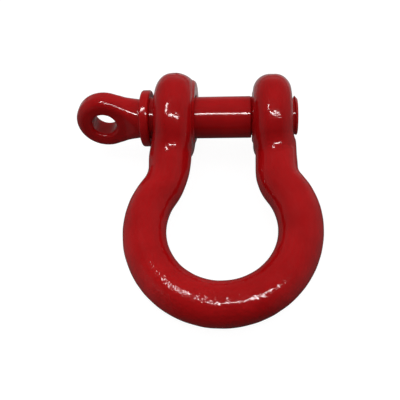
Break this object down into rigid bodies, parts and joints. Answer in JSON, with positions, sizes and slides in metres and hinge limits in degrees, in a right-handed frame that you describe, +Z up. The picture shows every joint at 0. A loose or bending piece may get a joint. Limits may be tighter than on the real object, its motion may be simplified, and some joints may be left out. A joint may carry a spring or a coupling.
{
  "type": "bow shackle",
  "caption": "Forged bow shackle with a screw pin: a round bow, an eye-ended pin through its jaw, painted red.",
  "frame": {"origin": "on the pin's axis, midway between the two ears", "axes": "+X along the pin towards its threaded tip, crown of the bow towards -Y, +Z up; the shackle lies flat with both ears and the crown on z = -0.0233"},
  "size_m": [0.1254, 0.1337, 0.0466],
  "materials": {
    "bow_paint": "glossy red enamel over a forged surface",
    "pin_paint": "glossy red enamel, smooth on the turned shank"
  },
  "bodies": {
    "bow": {"bow": "bow_paint"},
    "pin": {"screw_pin": "pin_paint"}
  },
  "joints": [
    {"name": "pin_withdraw", "type": "slide", "parent": "bow", "child": "pin", "axis": [-1, 0, 0], "range_m": [-0.0028, 0.085]}
  ]
}
